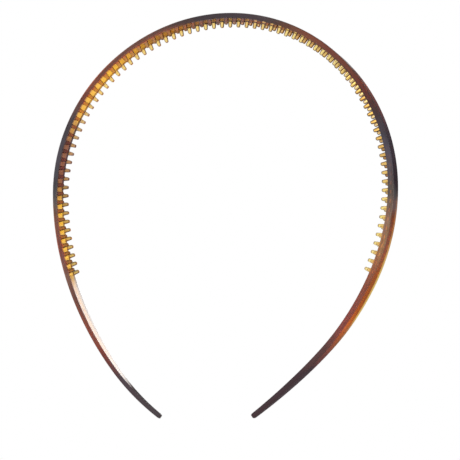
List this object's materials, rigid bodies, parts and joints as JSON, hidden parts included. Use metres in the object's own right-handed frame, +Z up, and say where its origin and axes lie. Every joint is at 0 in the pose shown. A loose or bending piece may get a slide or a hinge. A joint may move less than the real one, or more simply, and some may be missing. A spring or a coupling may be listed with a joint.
{
  "type": "toothed headband",
  "caption": "Horseshoe hair band of translucent tortoiseshell plastic with comb teeth along both inner edges and springy arms.",
  "frame": {"origin": "middle of the arch's extents in X and Y, on the band edge that it lies on", "axes": "+Y towards the crown, -Y towards the leg tips, +Z up through the width of the band lying on its edge, +X towards the right arm seen from above"},
  "size_m": [0.1256, 0.1434, 0.0061],
  "materials": {
    "tortoiseshell_band": "polished translucent tortoiseshell, injection moulded",
    "amber_teeth": "polished translucent amber, injection moulded"
  },
  "bodies": {
    "crown": {"crown_band": "tortoiseshell_band", "crown_front_teeth": "amber_teeth", "crown_back_teeth": "amber_teeth"},
    "left_arm": {"left_arm_band": "tortoiseshell_band", "left_arm_front_teeth": "amber_teeth", "left_arm_back_teeth": "amber_teeth", "left_leg": "tortoiseshell_band"},
    "right_arm": {"right_arm_band": "tortoiseshell_band", "right_arm_front_teeth": "amber_teeth", "right_arm_back_teeth": "amber_teeth", "right_leg": "tortoiseshell_band"}
  },
  "joints": [
    {"name": "left_arm_flex", "type": "hinge", "parent": "crown", "child": "left_arm", "pos_m": [-0.04578, 0.05289, 0.00305], "axis": [0, 0, -1], "range_deg": [0, 15], "stiffness_Nm_per_rad": 0.08},
    {"name": "right_arm_flex", "type": "hinge", "parent": "crown", "child": "right_arm", "pos_m": [0.04405, 0.05289, 0.00305], "axis": [0, 0, 1], "range_deg": [0, 15], "stiffness_Nm_per_rad": 0.08}
  ]
}
